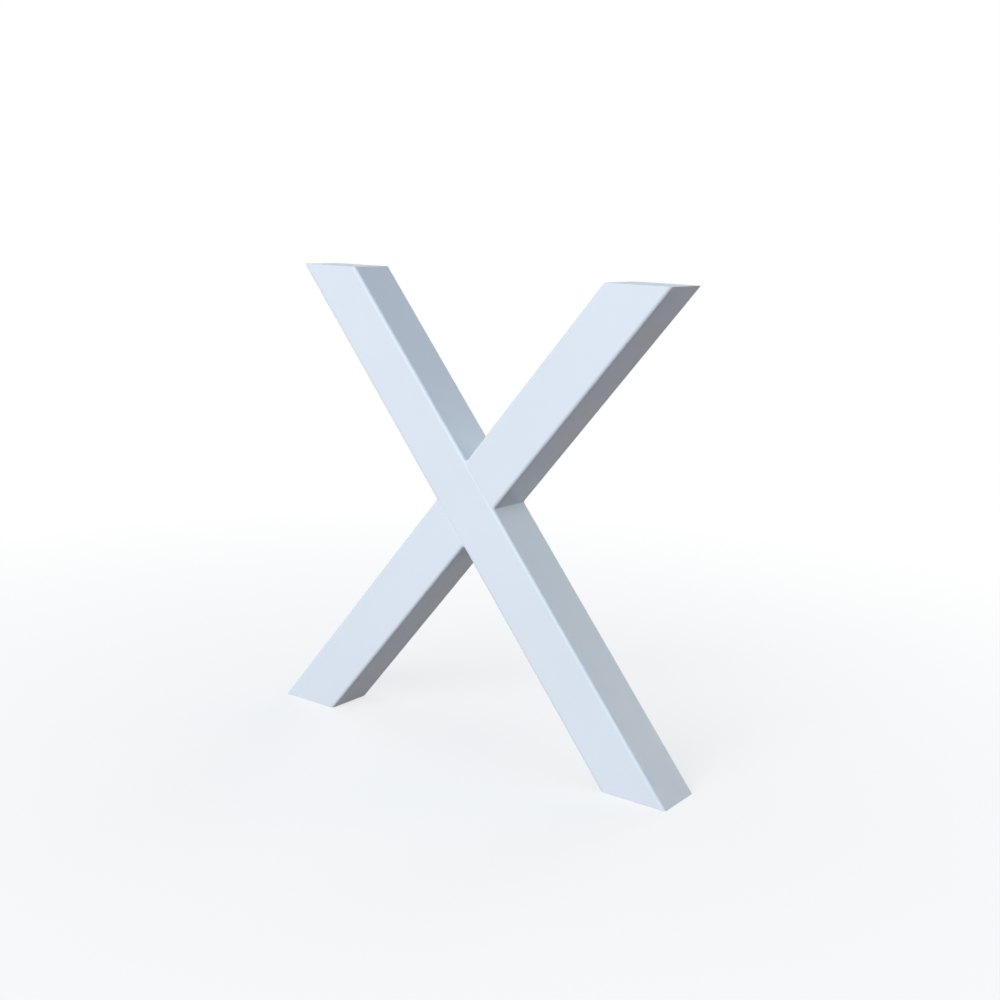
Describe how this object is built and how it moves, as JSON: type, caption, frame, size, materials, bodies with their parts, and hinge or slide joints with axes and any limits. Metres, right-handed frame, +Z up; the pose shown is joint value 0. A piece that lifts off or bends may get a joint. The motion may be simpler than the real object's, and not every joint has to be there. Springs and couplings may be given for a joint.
{
  "type": "x-shaped table leg",
  "caption": "X-shaped table leg of welded square steel tube in white powder coat, with level heads tapped for a table top and level feet on the floor.",
  "frame": {"origin": "on the floor, midway between the outer edges of the feet and midway through the depth of the tubes", "axes": "+X to the right along the width of the X, +Y from the front face to the back face, +Z up"},
  "size_m": [0.71, 0.08, 0.7],
  "materials": {
    "white_coat": "smooth satin powder coat, white with a cool tint"
  },
  "bodies": {
    "root": {"long_tube": "white_coat", "upper_half_tube": "white_coat", "lower_half_tube": "white_coat", "upper_joint_weld": "white_coat", "lower_joint_weld": "white_coat", "left_head_plate": "white_coat", "left_head_weld": "white_coat", "right_head_plate": "white_coat", "right_head_weld": "white_coat", "left_foot_plate": "white_coat", "left_foot_weld": "white_coat", "right_foot_plate": "white_coat", "right_foot_weld": "white_coat"}
  },
  "joints": []
}
